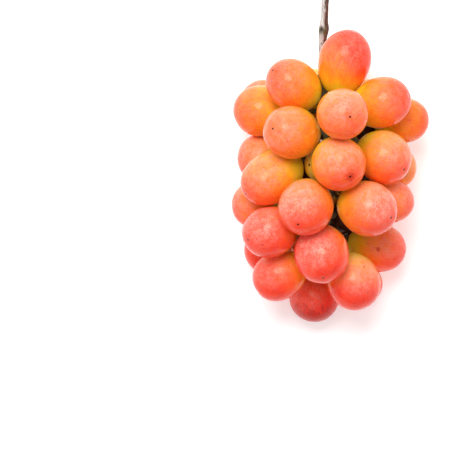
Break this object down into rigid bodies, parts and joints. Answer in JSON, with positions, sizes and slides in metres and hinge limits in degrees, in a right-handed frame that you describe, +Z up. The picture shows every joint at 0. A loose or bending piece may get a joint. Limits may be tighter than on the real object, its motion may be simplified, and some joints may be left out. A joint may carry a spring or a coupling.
{
  "type": "bunch of grapes",
  "caption": "Loose bunch of large oval red table grapes on a branched woody stem, picked and lying on its side on a flat surface.",
  "frame": {"origin": "on the resting surface, under the middle of the bunch's bounding box", "axes": "+Z up; +Y along the bunch towards the cut end of the stem; +X to the right, seen from above with the stem at the top"},
  "size_m": [0.095, 0.17, 0.0944],
  "materials": {
    "grape_skin": "satin, waxy and translucent; orange-yellow at the stem end to red at the blossom end",
    "stem_wood": "matt bark, grey-brown outside the bunch and olive green inside it"
  },
  "bodies": {
    "root": {"berry_01": "grape_skin", "berry_02": "grape_skin", "berry_03": "grape_skin", "berry_04": "grape_skin", "berry_05": "grape_skin", "berry_06": "grape_skin", "berry_07": "grape_skin", "berry_08": "grape_skin", "berry_09": "grape_skin", "berry_10": "grape_skin", "berry_11": "grape_skin", "berry_12": "grape_skin", "berry_13": "grape_skin", "berry_14": "grape_skin", "berry_15": "grape_skin", "berry_16": "grape_skin", "berry_17": "grape_skin", "berry_18": "grape_skin", "berry_19": "grape_skin", "berry_20": "grape_skin", "berry_21": "grape_skin", "berry_22": "grape_skin", "berry_23": "grape_skin", "berry_24": "grape_skin", "berry_25": "grape_skin", "berry_26": "grape_skin", "berry_27": "grape_skin", "berry_28": "grape_skin", "berry_29": "grape_skin", "berry_30": "grape_skin", "berry_31": "grape_skin", "berry_32": "grape_skin", "berry_33": "grape_skin", "berry_34": "grape_skin", "berry_35": "grape_skin", "berry_36": "grape_skin", "berry_37": "grape_skin", "berry_38": "grape_skin", "berry_39": "grape_skin", "berry_40": "grape_skin", "berry_41": "grape_skin", "berry_42": "grape_skin", "berry_43": "grape_skin", "rachis": "stem_wood"}
  },
  "joints": []
}
